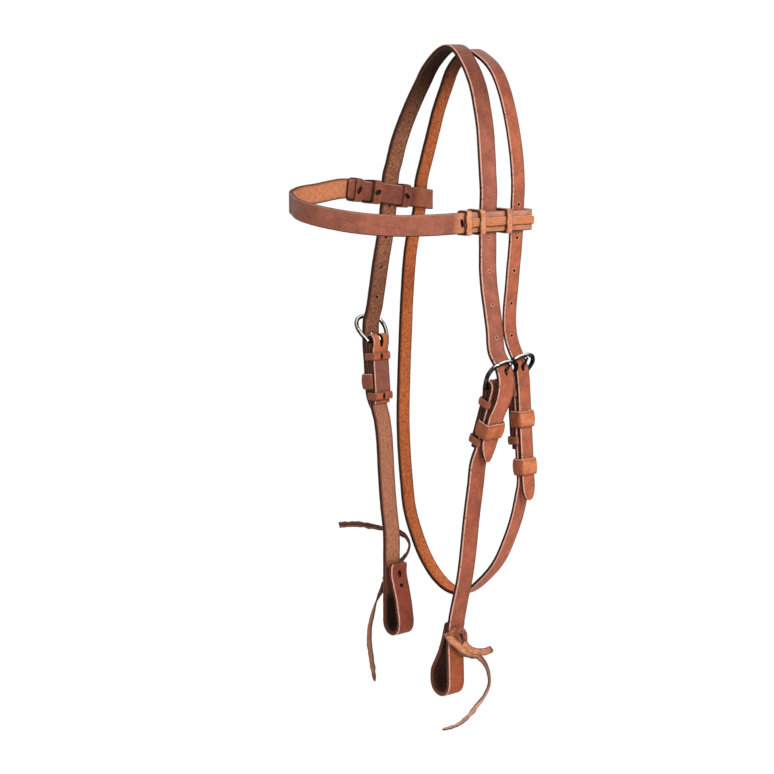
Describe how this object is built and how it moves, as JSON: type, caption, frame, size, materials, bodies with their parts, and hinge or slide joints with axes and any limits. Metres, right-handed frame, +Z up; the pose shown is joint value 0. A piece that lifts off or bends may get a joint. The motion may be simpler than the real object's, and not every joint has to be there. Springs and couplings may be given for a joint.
{
  "type": "western headstall",
  "caption": "Leather western headstall for a horse's head with crown, cheeks ending in tied bit loops, laced browband, throatlatch and steel buckles.",
  "frame": {"origin": "under the crown strap where it lies over the horse's poll, midway between its cheeks", "axes": "+Z up the horse's head, +X to the horse's near (left) side, -Y the way the horse faces"},
  "size_m": [0.1775, 0.1618, 0.5357],
  "materials": {
    "harness_leather": "oiled, red-brown, grain side out",
    "keeper_leather": "oiled, warm orange-brown",
    "lace_leather": "soft latigo, orange-brown",
    "stainless_steel": "polished"
  },
  "bodies": {
    "headstall": {"crown_strap": "harness_leather", "throatlatch_strap": "harness_leather", "near_cheek": "harness_leather", "off_cheek": "harness_leather", "near_cheek_upper_lace": "lace_leather", "near_cheek_lower_lace": "lace_leather", "off_cheek_upper_lace": "lace_leather", "off_cheek_lower_lace": "lace_leather", "throatlatch_upper_lace": "lace_leather", "throatlatch_lower_lace": "lace_leather", "near_bit_tie": "lace_leather", "off_bit_tie": "lace_leather", "near_tie_short_end": "lace_leather", "near_tie_long_end": "lace_leather", "off_tie_upper_end": "lace_leather", "off_tie_lower_end": "lace_leather"},
    "browband_set": {"browband": "harness_leather", "near_browband_lace_1": "lace_leather", "near_browband_lace_2": "lace_leather", "near_browband_lace_3": "lace_leather", "off_browband_lace_1": "lace_leather", "off_browband_lace_2": "lace_leather", "off_browband_lace_3": "lace_leather", "near_browband_thong": "lace_leather", "off_browband_thong": "lace_leather"},
    "near_cheek_keeper_body": {"near_cheek_keeper": "keeper_leather"},
    "off_cheek_keeper_body": {"off_cheek_keeper": "keeper_leather"},
    "throatlatch_upper_keeper_body": {"throatlatch_upper_keeper": "keeper_leather"},
    "throatlatch_lower_keeper_body": {"throatlatch_lower_keeper": "keeper_leather"},
    "near_cheek_frame_body": {"near_cheek_buckle_frame": "stainless_steel"},
    "near_cheek_tongue_body": {"near_cheek_buckle_tongue": "stainless_steel"},
    "off_cheek_frame_body": {"off_cheek_buckle_frame": "stainless_steel"},
    "off_cheek_tongue_body": {"off_cheek_buckle_tongue": "stainless_steel"},
    "throatlatch_frame_body": {"throatlatch_buckle_frame": "stainless_steel"},
    "throatlatch_tongue_body": {"throatlatch_buckle_tongue": "stainless_steel"}
  },
  "joints": [
    {"name": "browband_slide", "type": "slide", "parent": "headstall", "child": "browband_set", "axis": [0, 0, 1], "range_m": [-0.005, 0.005]},
    {"name": "near_cheek_keeper_slide", "type": "slide", "parent": "headstall", "child": "near_cheek_keeper_body", "axis": [0.3256, 0, 0.9455], "range_m": [0, 0.0015]},
    {"name": "off_cheek_keeper_slide", "type": "slide", "parent": "headstall", "child": "off_cheek_keeper_body", "axis": [-0.0958, 0, 0.9954], "range_m": [0, 0.009]},
    {"name": "throatlatch_upper_keeper_slide", "type": "slide", "parent": "headstall", "child": "throatlatch_upper_keeper_body", "axis": [-0.0872, 0, 0.9962], "range_m": [-0.004, 0.009]},
    {"name": "throatlatch_lower_keeper_slide", "type": "slide", "parent": "headstall", "child": "throatlatch_lower_keeper_body", "axis": [-0.0872, 0, 0.9962], "range_m": [-0.004, 0.006]},
    {"name": "near_cheek_frame_hinge", "type": "hinge", "parent": "headstall", "child": "near_cheek_frame_body", "pos_m": [0.0673, -0.0185, -0.2532], "axis": [0, 1, 0], "range_deg": [-2, 3]},
    {"name": "near_cheek_tongue_hinge", "type": "hinge", "parent": "near_cheek_frame_body", "child": "near_cheek_tongue_body", "pos_m": [0.0673, -0.0185, -0.2532], "axis": [0, 1, 0], "range_deg": [0, 3]},
    {"name": "off_cheek_frame_hinge", "type": "hinge", "parent": "headstall", "child": "off_cheek_frame_body", "pos_m": [-0.073, -0.0185, -0.234], "axis": [0, -1, 0], "range_deg": [-2, 3]},
    {"name": "off_cheek_tongue_hinge", "type": "hinge", "parent": "off_cheek_frame_body", "child": "off_cheek_tongue_body", "pos_m": [-0.073, -0.0185, -0.234], "axis": [0, -1, 0], "range_deg": [0, 3]},
    {"name": "throatlatch_frame_hinge", "type": "hinge", "parent": "headstall", "child": "throatlatch_frame_body", "pos_m": [0.0603, 0.0095, -0.249], "axis": [0, 1, 0], "range_deg": [-2, 3]},
    {"name": "throatlatch_tongue_hinge", "type": "hinge", "parent": "throatlatch_frame_body", "child": "throatlatch_tongue_body", "pos_m": [0.0603, 0.0095, -0.249], "axis": [0, 1, 0], "range_deg": [0, 3]}
  ]
}
